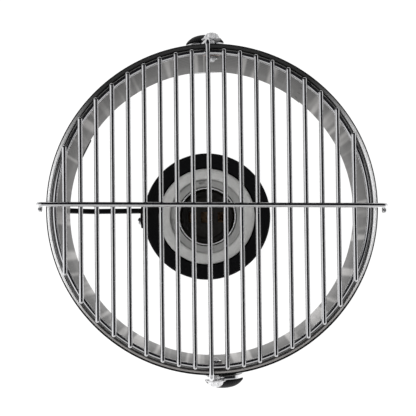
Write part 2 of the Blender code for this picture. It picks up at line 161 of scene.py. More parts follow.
class LampSizes(bpy.types.PropertyGroup):
    """Sizes of the fine detail, over what the solids already fix."""

    wire_radius: size_property("Wire radius", "Radius of the guard's wires", 1.0 * MM)
    bead_radius: size_property("Bead radius", "Radius of the rolled bead round the drum's mouth", 1.2 * MM)
    seam_width: size_property("Seam width", "Width of the lap where the drum's sheet closes", 5.0 * MM)
    thread_pitch: size_property("Thread pitch", "Pitch of the lampholder's rolled thread", 3.6 * MM)
    thread_depth: size_property("Thread depth", "Depth of the lampholder's rolled thread", 0.95 * MM)
    hoop_rod: size_property("Hoop rod", "Radius of the rod that the hoop is bent from", 2.5 * MM)
    seam_angle: FloatProperty(
        name="Seam angle", description="Where the drum's seam is, round the drum from the front screw",
        default=math.radians(143), subtype="ANGLE")
    knob_flutes: IntProperty(name="Knob flutes", description="Grooves round each knob's rim", default=44)
    drum_steps: IntProperty(name="Drum steps", description="Segments round the drum", default=256)


class LampColours(bpy.types.PropertyGroup):
    """Colours of the finishes."""

    chrome: colour_property("Chrome", "Plated wires, legs and screws", (0.80, 0.80, 0.81))
    drum: colour_property("Drum", "Brushed sheet of the drum", (0.27, 0.262, 0.255))
    paint: colour_property("Paint", "Matte black of the cup and arm", (0.0045, 0.0045, 0.005))
    knob: colour_property("Knob", "Moulded black of the knobs", (0.005, 0.005, 0.0055))
    porcelain: colour_property("Porcelain", "Glazed body of the lampholder", (0.47, 0.47, 0.46))
    # The shell's colour is kept dark as painted shade for its place deep in the socket.
    shell: colour_property("Shell", "Plated screw shell", (0.13, 0.12, 0.105))
    brass: colour_property("Brass", "Contacts and the cable inlet", (0.24, 0.15, 0.085))
    fibre: colour_property("Fibre", "Washers inside the drum", (0.62, 0.50, 0.46))
    rubber: colour_property("Rubber", "Feet under the hoop", (0.018, 0.018, 0.018))


class StageSettings(bpy.types.PropertyGroup):
    """The camera and the light tent."""

    distance: size_property("Camera distance", "From the drum's mouth up to the camera", 480 * MM)
    across: size_property("Camera across", "Camera's place to the right of the drum's axis", -1.3 * MM)
    down: size_property("Camera down", "Camera's place below the drum's axis, as seen", 15.2 * MM)
    aim_across: size_property("Aim across", "Where the camera looks, right of the axis", -1.7 * MM)
    aim_down: size_property("Aim down", "Where the camera looks, below the axis as seen", -0.24 * MM)
    lens: FloatProperty(name="Lens", description="Focal length", default=96.83, unit="CAMERA")
    roll: FloatProperty(
        name="Roll", description="Lean of the wires to the left", default=math.radians(0.67),
        subtype="ANGLE")


# ---------------------------------------------------------------- shader sums

class Signal:
    """A node's output, which can be used in sums with numbers and other signals."""

    def __init__(self, graph, socket):
        self.graph = graph
        self.socket = socket

    def _sum(self, operation, *values):
        return self.graph.node("ShaderNodeMath", {"operation": operation}, dict(enumerate(values)))

    def __add__(self, other):
        return self._sum("ADD", self, other)

    def __sub__(self, other):
        return self._sum("SUBTRACT", self, other)

    def __mul__(self, other):
        return self._sum("MULTIPLY", self, other)

    def __pow__(self, other):
        return self._sum("POWER", self, other)

    __radd__ = __add__
    __rmul__ = __mul__

    def clamped(self):
        return self.graph.node("ShaderNodeMath", {"operation": "ADD", "use_clamp": True}, {0: self, 1: 0.0})

    def between(self, low, high, start=0.0, end=1.0):
        """Where the signal runs from low to high, a smooth step from start to end."""
        return self.graph.node(
            "ShaderNodeMapRange", {"interpolation_type": "SMOOTHSTEP"},
            {0: self, 1: low, 2: high, 3: start, 4: end})


class Graph:
    """A node tree that is written as calls."""

    def __init__(self, tree):
        self.tree = tree

    def node(self, kind, settings=None, inputs=None, output=0):
        made = self.tree.nodes.new(kind)
        for name, value in (settings or {}).items():
            setattr(made, name, value)
        for name, value in (inputs or {}).items():
            if isinstance(value, Signal):
                self.tree.links.new(value.socket, made.inputs[name])
            else:
                made.inputs[name].default_value = value
        return Signal(self, made.outputs[output])

    def mix(self, factor, first, second):
        """Two colours mixed by a signal."""
        return self.node(
            "ShaderNodeMix", {"data_type": "RGBA"},
            {"Factor": factor, 6: opaque(first), 7: opaque(second)}, output=2)

    def noise(self, vector, scale, detail=2.0, roughness=0.5):
        return self.node(
            "ShaderNodeTexNoise", None,
            {"Vector": vector, "Scale": scale, "Detail": detail, "Roughness": roughness})

    def place(self, centre=(0, 0, 0), scale=(1, 1, 1)):
        """Object coordinates, moved so that centre is nought, then scaled."""
        spot = self.node("ShaderNodeTexCoord", output=3)
        moved = self.node(
            "ShaderNodeVectorMath", {"operation": "SUBTRACT"}, {0: spot, 1: tuple(centre)})
        return self.node(
            "ShaderNodeVectorMath", {"operation": "MULTIPLY"}, {0: moved, 1: tuple(scale)})

    def parts(self, vector):
        """The three numbers of a vector."""
        made = self.tree.nodes.new("ShaderNodeSeparateXYZ")
        self.tree.links.new(vector.socket, made.inputs[0])
        return [Signal(self, socket) for socket in made.outputs]

    def joined(self, x, y, z):
        return self.node("ShaderNodeCombineXYZ", None, {0: x, 1: y, 2: z})

    def round_place(self, centre=(0, 0, 0)):
        """Angle round an upright axis, distance from it, and height."""
        x, y, z = self.parts(self.place(centre))
        angle = self.node("ShaderNodeMath", {"operation": "ARCTAN2"}, {0: y, 1: x})
        return angle, (x * x + y * y) ** 0.5, z


def opaque(value):
    return value if isinstance(value, Signal) or len(value) == 4 else (*value, 1)


MATERIALS = {}


def finish_of(name, plain, linked=None, bump=None, bump_size=0.1 * MM, bump_strength=0.3):
    """A Principled finish: plain values on its sockets, then the signals that vary over the surface."""
    made = bpy.data.materials.new(name)
    made.use_nodes = True
    tree = made.node_tree
    shader = tree.nodes["Principled BSDF"]
    for socket, value in plain.items():
        shader.inputs[socket].default_value = value
    graph = Graph(tree)
    for socket, signal in (linked(graph) if linked else {}).items():
        tree.links.new(signal.socket, shader.inputs[socket])
    if bump:
        raised = graph.node(
            "ShaderNodeBump", None,
            {"Strength": bump_strength, "Distance": bump_size, "Height": bump(graph)})
        tree.links.new(raised.socket, shader.inputs["Normal"])
    MATERIALS[name] = made
    return made


def colours():
    return bpy.context.scene.lamp_colours


def sizes():
    return bpy.context.scene.lamp_sizes


def toned(colour, share):
    """A colour made lighter or darker."""
    return tuple(share * part for part in colour)


def make_chrome(name, colour, rough, pitting):
    """Bright plating: slow waves in the metal, fine wipe marks and a few dull spots."""
    def linked(graph):
        broad = graph.noise(graph.place(), 90, 3)
        spots = graph.noise(graph.place(), 1500, 2).between(0.62, 0.74)
        wipes = graph.noise(graph.place(scale=(300, 2400, 900)), 1, 2)
        roughness = rough + broad * 0.05 + wipes * 0.06 + spots * pitting
        dull = toned(colour, 0.62)
        return {"Roughness": roughness, "Base Color": graph.mix(spots * pitting * 2, colour, dull)}

    def bump(graph):
        return graph.noise(graph.place(), 260, 2) + graph.noise(graph.place(), 1400, 2) * 0.12

    return finish_of(name, {"Metallic": 1.0}, linked, bump, 0.08 * MM, 0.25)


def make_drum_finish():
    """Sheet drawn in shallow rings towards its mouth, with pale upright stripes of painted reflection, and
    painted shade and light at the mouth and on its bead.
    """
    base = tuple(colours().drum)
    centre = HEAD_MATRIX @ Vector((0, 0, 0))
    mouth, rear = DRUM_HIGH.z, DRUM_LOW.z

    def rings(graph):
        _, _, height = graph.round_place(centre)
        waves = graph.node(
            "ShaderNodeMath", {"operation": "SINE"}, {0: height * (2 * math.pi / (4.2 * MM))})
        return waves * height.between(rear + 16 * MM, mouth - 12 * MM)

    def lines(graph, fine):
        angle, _, height = graph.round_place(centre)
        return graph.noise(graph.joined(angle * 9, height * fine, 0.0), 1, 3, 0.6)

    def linked(graph):
        angle, radius, height = graph.round_place(centre)
        across, _, _ = graph.parts(graph.place())
        # Pale upright stripes on the inner wall are painted reflections; the same noise also makes the sheet
        # a little smoother there.
        painted_streaks = graph.noise(graph.joined(angle * 17, 0.0, height * 5), 1, 1, 0.3).between(0.46, 0.70)
        fine = lines(graph, 3800)
        pits = graph.noise(graph.place(), 1900, 2).between(0.60, 0.70)
        pale = toned(base, 2.3)
        dark = toned(base, 0.55)
        brushed = graph.mix(fine.between(0.3, 0.7), dark, base)
        ringed = graph.mix((rings(graph) * 0.9 + 0.2).clamped(), brushed, toned(base, 0.36))
        inside = radius.between(DRUM_IN + 0.2 * MM, DRUM_IN + 0.5 * MM, 1.0, 0.0)
        painted_streak_sheen = graph.mix(painted_streaks * inside * 0.8, ringed, pale)
        worn = graph.mix(pits * 0.3, painted_streak_sheen, dark)
        # Painted shade: the last few millimetres of sheet before the mouth are made almost black.
        near = height.between(mouth - 6 * MM, mouth - 4 * MM)
        shadowed = graph.mix(near, worn, toned(base, 0.10))
        # The bead carries painted light and shade: pale on one side, grey across the middle and near black on
        # the other, with a painted black line along its outer edge. Along that line the metal is turned off,
        # and it is turned down over the bead's outer part, so that the painted colour shows.
        bead = radius.between(DRUM_IN + 0.08 * MM, DRUM_IN + 0.2 * MM) * near
        lower = across.between(15 * MM, 55 * MM)
        upper = across.between(-55 * MM, -15 * MM, 1.0, 0.0)
        painted_bead_light = graph.mix(lower, (0.80, 0.80, 0.80), (0.25, 0.24, 0.235))
        painted_bead_light = graph.mix(upper, painted_bead_light, (0.03, 0.03, 0.03))
        edge = (radius + lower * (0.3 * MM)).between(BEAD_OUT - 0.72 * MM, BEAD_OUT - 0.52 * MM) * near
        top = radius.between(DRUM_IN + 0.65 * MM, DRUM_IN + 0.9 * MM) * near
        bright = graph.mix(edge, painted_bead_light, (0.006, 0.006, 0.006))
        rough = 0.42 + fine * 0.10 - painted_streaks * 0.06 + pits * 0.08
        return {
            "Base Color": graph.mix(bead, shadowed, bright),
            "Metallic": (edge + top * 0.65).clamped() * -1.0 + 1.0,
            "Roughness": rough * (bead * -1.0 + 1.0) + bead * (lower * 0.36 + 0.14) + edge * 0.4,
        }

    def bump(graph):
        return lines(graph, 3800) * 0.3 + rings(graph) * 0.8

    return finish_of("brushed_sheet", {"Specular IOR Level": 0.0}, linked, bump, 0.02 * MM, 0.4)


def make_screw_finish():
    """Bright zinc of the pressed screw heads, greyer in random patches."""
    tint = tuple(colours().chrome)

    def linked(graph):
        wear = graph.noise(graph.place(), 900, 3).between(0.35, 0.7)
        return {
            "Base Color": graph.mix(wear, toned(tint, 1.15), toned(tint, 0.7)),
            "Roughness": 0.26 + wear * 0.15,
        }

    def bump(graph):
        return graph.noise(graph.place(), 700, 2)

    return finish_of("bright_zinc", {"Metallic": 0.45}, linked, bump, 0.05 * MM, 0.3)


def make_black(name, colour, rough, grain, size):
    """A black finish with a fine grain and dust in scattered spots."""
    def linked(graph):
        cloud = graph.noise(graph.place(), 140, 3)
        fine = graph.noise(graph.place(), grain, 2)
        dust = graph.noise(graph.place(), 2600, 2).between(0.66, 0.78)
        dusty = tuple(min(1, 2.6 * part + 0.012) for part in colour)
        pale = toned(colour, 1.5)
        base = graph.mix(fine.between(0.35, 0.7), colour, pale)
        return {
            "Base Color": graph.mix(dust * 0.45, base, dusty),
            "Roughness": rough + cloud * 0.12 - fine * 0.08,
        }

    return finish_of(
        name, {"Metallic": 0.0, "Specular IOR Level": 0.07}, linked,
        lambda graph: graph.noise(graph.place(), grain, 2), size, 0.35)


def make_porcelain_finish():
    """Glazed light grey body: slightly mottled, with painted shade greying the recess and blackening the
    bottom of the well, and a few iron specks.
    """
    base = tuple(colours().porcelain)
    outer = radii_about("porcelain_body", HOLDER)[1]
    top = head_box("porcelain_body")[1].z

    def linked(graph):
        centre = HEAD_MATRIX @ HOLDER
        _, radius, height = graph.round_place(centre)
        mottle = graph.noise(graph.place(), 170, 4, 0.6)
        specks = graph.noise(graph.place(), 2100, 1).between(0.72, 0.78)
        # Painted shade: the recess and the glaze below the top face are greyed, and the bottom of the well is
        # made near black.
        recess = radius.between(0.74 * outer, 0.79 * outer, 1.0, 0.0)
        deep = height.between(top - 6 * MM, top - 0.5 * MM, 1.0, 0.0)
        recess_painted_shade = toned(base, 0.5)
        dark = toned(base, 0.3)
        pale = toned(base, 1.18)
        well = height.between(top - 9 * MM, top - 5 * MM, 1.0, 0.0)
        well = well * radius.between(0.68 * outer, 0.8 * outer, 1.0, 0.0)
        glaze = graph.mix(mottle.between(0.35, 0.68), base, pale)
        recess_painted_shade = graph.mix(well, recess_painted_shade, (0.014, 0.013, 0.012))
        shaded = graph.mix((recess * 0.6 + deep * 0.3 + well).clamped(), glaze, recess_painted_shade)
        return {
            "Base Color": graph.mix(specks * 0.6, shaded, dark),
            "Roughness": 0.34 + mottle * 0.14 + recess * 0.12,
        }

    return finish_of(
        "glazed_porcelain", {"Coat Weight": 0.35, "Coat Roughness": 0.12, "IOR": 1.5}, linked,
        lambda graph: graph.noise(graph.place(), 300, 2), 0.15 * MM, 0.25)


def make_old_metal(name, colour, rough, tarnish):
    """Brass or plated brass, darkened in patches."""
    def linked(graph):
        patches = graph.noise(graph.place(), 420, 4, 0.65).between(0.42, 0.66)
        fine = graph.noise(graph.place(), 2400, 2)
        dark = toned(colour, 0.28)
        return {
            "Base Color": graph.mix(patches * tarnish, colour, dark),
            "Roughness": rough + patches * 0.25 + fine * 0.08,
        }

    return finish_of(
        name, {"Metallic": 1.0}, linked,
        lambda graph: graph.noise(graph.place(), 900, 3), 0.05 * MM, 0.3)


def make_fibre_finish():
    """Pressed fibre, flecked along its layers."""
    base = tuple(colours().fibre)

    def linked(graph):
        flecks = graph.noise(graph.place(scale=(4000, 1200, 1200)), 1, 3)
        dark = toned(base, 0.6)
        return {"Base Color": graph.mix(flecks.between(0.4, 0.65), base, dark)}

    return finish_of(
        "pressed_fibre", {"Roughness": 0.8}, linked,
        lambda graph: graph.noise(graph.place(), 2500, 3), 0.05 * MM, 0.5)


def make_floor_finish():
    """A pale floor lit through from below, which keeps only the faintest shadow."""
    made = bpy.data.materials.new("pale_floor")
    made.use_nodes = True
    tree = made.node_tree
    tree.nodes.clear()
    graph = Graph(tree)
    across, _, _ = graph.parts(graph.place())
    seen = graph.node("ShaderNodeLightPath", output=0)
    shade = graph.mix(across.between(-60 * MM, 60 * MM), (0.62, 0.62, 0.62), (1.15, 1.15, 1.15))
    glow = graph.node(
        "ShaderNodeEmission", None, {"Color": graph.mix(seen, shade, (0.96, 0.96, 0.96)), "Strength": 1.0})
    matte = graph.node("ShaderNodeBsdfDiffuse", None, {"Color": (0.12, 0.12, 0.12, 1)})
    both = graph.node("ShaderNodeAddShader", None, {0: glow, 1: matte})
    output = tree.nodes.new("ShaderNodeOutputMaterial")
    tree.links.new(both.socket, output.inputs["Surface"])
    return made


def make_finishes():
    tint = colours()
    make_chrome("bright_chrome", tuple(tint.chrome), 0.05, 0.3)
    make_chrome("wire_chrome", tuple(tint.chrome), 0.05, 0.25)
    make_drum_finish()
    make_screw_finish()
    make_black("black_paint", tuple(tint.paint), 0.62, 1700, 0.05 * MM)
    make_black("moulded_black", tuple(tint.knob), 0.42, 900, 0.06 * MM)
    make_black("foot_rubber", tuple(tint.rubber), 0.85, 2200, 0.08 * MM)
    make_porcelain_finish()
    # The contact base is made near black: painted shade deep in the socket.
    make_black("socket_floor_painted_shade", (0.016, 0.015, 0.014), 0.5, 700, 0.06 * MM)
    # The shell's dark colour is painted shade inside the socket.
    make_old_metal("plated_shell", tuple(tint.shell), 0.22, 0.35)
    make_old_metal("old_brass", tuple(tint.brass), 0.35, 0.8)
    make_fibre_finish()


# ---------------------------------------------------------------- mesh tools

def link(piece):
    bpy.context.scene.collection.objects.link(piece)


def move(shape, matrix):
    bmesh.ops.transform(shape, matrix=matrix, verts=shape.verts[:])


def bevel(shape, edges, offset, segments, clamp=False):
    bmesh.ops.bevel(
        shape, geom=edges, offset=offset, segments=segments, profile=0.5, affect="EDGES", material=-1,
        clamp_overlap=clamp)


def fillet(points, steps=4):
    """An outline whose corners are rounded: each point is (radius, height, size of its rounding)."""
    made = []
    count = len(points)
    for index, (radius, height, size) in enumerate(points):
        here = Vector((radius, height))
        if size <= 0:
            made.append(here)
            continue
        before = Vector(points[index - 1][:2])
        after = Vector(points[(index + 1) % count][:2])
        start = here + (before - here).normalized() * min(size, (before - here).length / 2)
        end = here + (after - here).normalized() * min(size, (after - here).length / 2)
        for step in range(steps + 1):
            share = step / steps
            made.append((1 - share) ** 2 * start + 2 * share * (1 - share) * here + share**2 * end)
    return made


def turned(outline, steps, place=None, closed=True):
    """A bmesh turned about Z from an outline, then placed by a matrix."""
    shape = bmesh.new()
    points = [shape.verts.new((point[0], 0, point[1])) for point in outline]
    pairs = list(zip(points, points[1:]))
    if closed and points[0].co.x + points[-1].co.x > SAME_PLACE:
        pairs.append((points[-1], points[0]))
    edges = [shape.edges.new(pair) for pair in pairs]
    bmesh.ops.spin(
        shape, geom=points + edges, cent=(0, 0, 0), axis=UP, angle=2 * math.pi, steps=steps, use_merge=True)
    bmesh.ops.remove_doubles(shape, verts=shape.verts[:], dist=SAME_PLACE)
    if place is not None:
        move(shape, place)
    return shape


class Rod:
    """A round rod that grows from its start: straight runs are extruded and bends are spun."""

    def __init__(self, start, heading, radius, sides=20):
        self.shape = bmesh.new()
        self.place = Vector(start)
        self.heading = Vector(heading).normalized()
        self.radius = radius
        turn = self.heading.to_track_quat("Z", "Y").to_matrix().to_4x4()
        bmesh.ops.create_circle(
            self.shape, segments=sides, radius=radius, matrix=Matrix.Translation(self.place) @ turn)
        self.ring = self.shape.edges[:]
        self.dome(self.ring, -self.heading)

    def points(self, edges):
        return list({vertex for edge in edges for vertex in edge.verts})

    def extrude(self, edges, move, shrink=1.0):
        made = bmesh.ops.extrude_edge_only(self.shape, edges=edges)["geom"]
        verts = [item for item in made if isinstance(item, bmesh.types.BMVert)]
        bmesh.ops.translate(self.shape, vec=move, verts=verts)
        if shrink != 1.0:
            middle = sum((vertex.co for vertex in verts), Vector()) / len(verts)
            space = Matrix.Translation(-middle)
            bmesh.ops.scale(self.shape, vec=(shrink,) * 3, space=space, verts=verts)
        fresh = set(verts)
        return [
            item for item in made
            if isinstance(item, bmesh.types.BMEdge) and set(item.verts) <= fresh
        ]

    def dome(self, edges, heading, steps=4):
        """Close an end with a rounded cap."""
        for step in range(1, steps + 1):
            before, after = (math.radians(84 * count / steps) for count in (step - 1, step))
            rise = self.radius * (math.sin(after) - math.sin(before))
            edges = self.extrude(edges, heading * rise * 0.8, math.cos(after) / math.cos(before))
        bmesh.ops.contextual_create(self.shape, geom=edges)

    def straight(self, length):
        """Rings close to both ends keep the shading of a long run even."""
        hold = min(0.3 * self.radius, length / 3)
        for run in (hold, length - 2 * hold, hold):
            self.ring = self.extrude(self.ring, self.heading * run)
        self.place += self.heading * length
        return self

    def bend(self, angle, radius, axis, steps=8):
        axis = Vector(axis).normalized()
        centre = self.place + axis.cross(self.heading) * radius
        geom = self.points(self.ring) + self.ring
        made = bmesh.ops.spin(self.shape, geom=geom, cent=centre, axis=axis, angle=angle, steps=steps)
        self.ring = [item for item in made["geom_last"] if isinstance(item, bmesh.types.BMEdge)]
        turn = Matrix.Rotation(angle, 3, axis)
        self.place = centre + turn @ (self.place - centre)
        self.heading = turn @ self.heading
        return self

    def end(self):
        self.dome(self.ring, self.heading)
        bmesh.ops.remove_doubles(self.shape, verts=self.shape.verts[:], dist=1e-8)
        bmesh.ops.recalc_face_normals(self.shape, faces=self.shape.faces[:])
        return self.shape


def block(low, high, soft, segments=3):
    """A box between two corners with rounded edges."""
    low, high = Vector(low), Vector(high)
    shape = bmesh.new()
    place = Matrix.Translation((low + high) / 2) @ Matrix.Diagonal((*(high - low), 1))
    bmesh.ops.create_cube(shape, size=1, matrix=place)
    bevel(shape, shape.edges[:], soft, segments)
    return shape


def joined(shapes):
    """Several bmeshes as one."""
    whole = bmesh.new()
    for shape in shapes:
        carrier = bpy.data.meshes.new("carrier")
        shape.to_mesh(carrier)
        shape.free()
        whole.from_mesh(carrier)
        bpy.data.meshes.remove(carrier)
    return whole


def refined(node, soft, segments=3, flat=1.0, sharp=30.0):
    """A solid's own shape with its flat faces made whole and its sharp edges rounded."""
    shape = bmesh.new()
    shape.from_mesh(frame["nodes"][node].data)
    bmesh.ops.remove_doubles(shape, verts=shape.verts[:], dist=1e-6)
    bmesh.ops.dissolve_limit(
        shape, angle_limit=math.radians(flat), verts=shape.verts[:], edges=shape.edges[:])
    edges = [
        edge for edge in shape.edges
        if len(edge.link_faces) == 2 and edge.calc_face_angle(0) > math.radians(sharp)
    ]
    bevel(shape, edges, soft, segments, clamp=True)
    return shape


def put(name, shape, body, finish, stands_for=(), in_head=True, smooth=SMOOTH_ANGLE, out=True):
    """Make a bmesh an object of the lamp, which rides on a body and stands for its solids."""
    if out:
        bmesh.ops.recalc_face_normals(shape, faces=shape.faces[:])
    if in_head:
        move(shape, HEAD_MATRIX)
    mesh = bpy.data.meshes.new(name)
    shape.to_mesh(mesh)
    shape.free()
    mesh.shade_smooth()
    mesh.set_sharp_from_angle(angle=math.radians(smooth))
    piece = bpy.data.objects.new(name, mesh)
    link(piece)
    mesh.materials.append(MATERIALS[finish])
    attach(piece, body)
    if stands_for:
        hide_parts(*stands_for)
    return piece


def outward(side, y=0.0, z=0.0):
    """Places a shape turned about Z so that its axis runs out along X on one side."""
    return Matrix.Translation((0, y, z)) @ Matrix.Rotation(math.radians(90 * side), 4, "Y")


def carved(piece, *cutters):
    """Cut bmeshes out of a piece for good."""
    for shape in cutters:
        bmesh.ops.recalc_face_normals(shape, faces=shape.faces[:])
        mesh = bpy.data.meshes.new("cutter")
        shape.to_mesh(mesh)
        shape.free()
        cutter = bpy.data.objects.new("cutter", mesh)
        link(cutter)
        change = piece.modifiers.new("carve", "BOOLEAN")
        change.operation = "DIFFERENCE"
        change.object = cutter
        bpy.context.view_layer.update()
        graph = bpy.context.evaluated_depsgraph_get()
        result = bpy.data.meshes.new_from_object(piece.evaluated_get(graph), depsgraph=graph)
        piece.modifiers.clear()
        piece.data = result
        bpy.data.objects.remove(cutter, do_unlink=True)
        bpy.data.meshes.remove(mesh)
    piece.data.shade_smooth()
    piece.data.set_sharp_from_angle(angle=math.radians(SMOOTH_ANGLE))
    return piece


def thread(radius, low, high, pitch, height, steps=28):
    """A screw's ridge, which winds round Z from low to high."""
    shape = bmesh.new()
    half = pitch * 0.42
    rows = [(radius - 0.1 * MM, -half), (radius + height, 0), (radius - 0.1 * MM, half)]
    verts = [shape.verts.new((r, 0, low + z)) for r, z in rows]
    edges = [shape.edges.new((verts[i], verts[(i + 1) % 3])) for i in range(3)]
    face = shape.faces.new(verts)
    turns = (high - low) / pitch
    count = round(turns * steps)
    bmesh.ops.spin(
        shape, geom=verts + edges + [face], cent=(0, 0, 0), axis=UP, angle=2 * math.pi * turns,
        dvec=(0, 0, (high - low) / count), steps=count)
    bmesh.ops.remove_doubles(shape, verts=shape.verts[:], dist=SAME_PLACE)
    return shape


def hexagon(across, low, high, bore, place):
    """A chamfered hexagon nut along Z."""
    shape = bmesh.new()
    bmesh.ops.create_circle(shape, segments=6, radius=across / 2 / math.cos(math.pi / 6))
    bmesh.ops.create_circle(shape, segments=24, radius=bore)
    bmesh.ops.triangle_fill(shape, edges=shape.edges[:], use_beauty=True)
    bmesh.ops.translate(shape, vec=(0, 0, low), verts=shape.verts[:])
    made = bmesh.ops.extrude_face_region(shape, geom=shape.faces[:])["geom"]
    verts = [item for item in made if isinstance(item, bmesh.types.BMVert)]
    bmesh.ops.translate(shape, vec=(0, 0, high - low), verts=verts)
    rim = [
        edge for edge in shape.edges
        if min(vertex.co.xy.length for vertex in edge.verts) > across / 2 * 0.98
        and abs(edge.verts[0].co.z - edge.verts[1].co.z) < 1e-6
    ]
    bevel(shape, rim, 0.18 * MM, 2)
    move(shape, place)
    return shape


def sleeve_outline(bore, radius, low, high, soft):
    """The outline of a sleeve, with the edges of its outside rounded by soft."""
    return fillet([
        (bore, low, 0.2 * MM), (radius, low, soft), (radius, high, soft), (bore, high, 0.2 * MM)])


def arc_points(centre, radius, start, end, steps):
    """Points on an arc, with angles in degrees."""
    turns = [math.radians(start + (end - start) * i / steps) for i in range(steps + 1)]
    return [Vector((centre[0] + radius * math.cos(a), centre[1] + radius * math.sin(a))) for a in turns]


# ---------------------------------------------------------------- pieces

class Maker(bpy.types.Operator):
    """Base of the operators that make pieces."""

    bl_options = {"REGISTER"}

    def execute(self, context):
        self.make()
        return {"FINISHED"}


class LAMP_OT_finishes(Maker):
    """Make the lamp's finishes"""

    bl_idname = "lamp.finishes"
    bl_label = "Finishes"

    def make(self):
        make_finishes()


class LAMP_OT_drum(Maker):
    """Make the sheet drum with its rolled bead and the lap where the sheet closes"""

    bl_idname = "lamp.drum"
    bl_label = "Drum"

    def make(self):
        size = sizes()
        inner, outer = DRUM_IN, DRUM_IN + WALL
        bead, front = size.bead_radius, DRUM_HIGH.z
        centre = (BEAD_OUT - bead, front - bead)
        roll = arc_points(centre, bead, -70, 178, 22)
        outline = fillet([(inner, DRUM_LOW.z, 0.3 * MM), (outer, DRUM_LOW.z, 0.3 * MM)])
        outline += [Vector((outer, DRUM_LOW.z + 0.7 * MM)), Vector((outer, centre[1] - 2.0 * bead))]
        outline += [Vector((outer, centre[1] - 1.35 * bead)), *roll]
        outline += [Vector((inner, centre[1] - step * MM)) for step in (0.3, 0.6, 4, 12, 24, 40)]
        outline += [Vector((inner, DRUM_LOW.z + 0.7 * MM))]
        drum = put(
            "fine_drum", turned(outline, size.drum_steps), "head", "brushed_sheet",
            ["drum_shell"])
        holes = [
            turned([(0, 60 * MM), (1.9 * MM, 60 * MM), (1.9 * MM, 80 * MM), (0, 80 * MM)], 32,
                   HEAD_MATRIX @ outward(side, SCREW_Y, SCREW_Z), closed=False)
            for side in (-1, 1)
        ]
        carved(drum, *holes)
        self.make_lap(inner, centre[1] - 1.5 * bead)

    def make_lap(self, inner, top):
        """The sheet's end, lapped inside and held by a row of spot welds."""
        size = sizes()
        half = size.seam_width / inner / 2
        step = 0.25 * MM
        low = DRUM_LOW.z + 0.6 * MM
        shape = bmesh.new()
        rows = [(inner - step, low), (inner + 0.05 * MM, low), (inner + 0.05 * MM, top), (inner - step, top)]
        verts = [shape.verts.new((radius, 0, height)) for radius, height in rows]
        edges = [shape.edges.new((verts[i], verts[(i + 1) % 4])) for i in range(4)]
        face = shape.faces.new(verts)
        bmesh.ops.rotate(
            shape, matrix=Matrix.Rotation(size.seam_angle - half, 3, "Z"), verts=shape.verts[:])
        bmesh.ops.spin(
            shape, geom=verts + edges + [face], cent=(0, 0, 0), axis=UP, angle=2 * half, steps=10)
        bmesh.ops.remove_doubles(shape, verts=shape.verts[:], dist=SAME_PLACE)
        shapes = [shape]
        spots = 4
        for index in range(spots):
            height = low + (top - low) * (index + 0.5) / spots
            spot = bmesh.new()
            bmesh.ops.create_uvsphere(spot, u_segments=16, v_segments=8, radius=1.1 * MM)
            bmesh.ops.scale(spot, vec=(0.14, 1, 1), verts=spot.verts[:])
            place = Matrix.Rotation(size.seam_angle, 4, "Z") @ Matrix.Translation((inner - step, 0, height))
            move(spot, place)
            shapes.append(spot)
        put("drum_lap", joined(shapes), "head", "brushed_sheet")


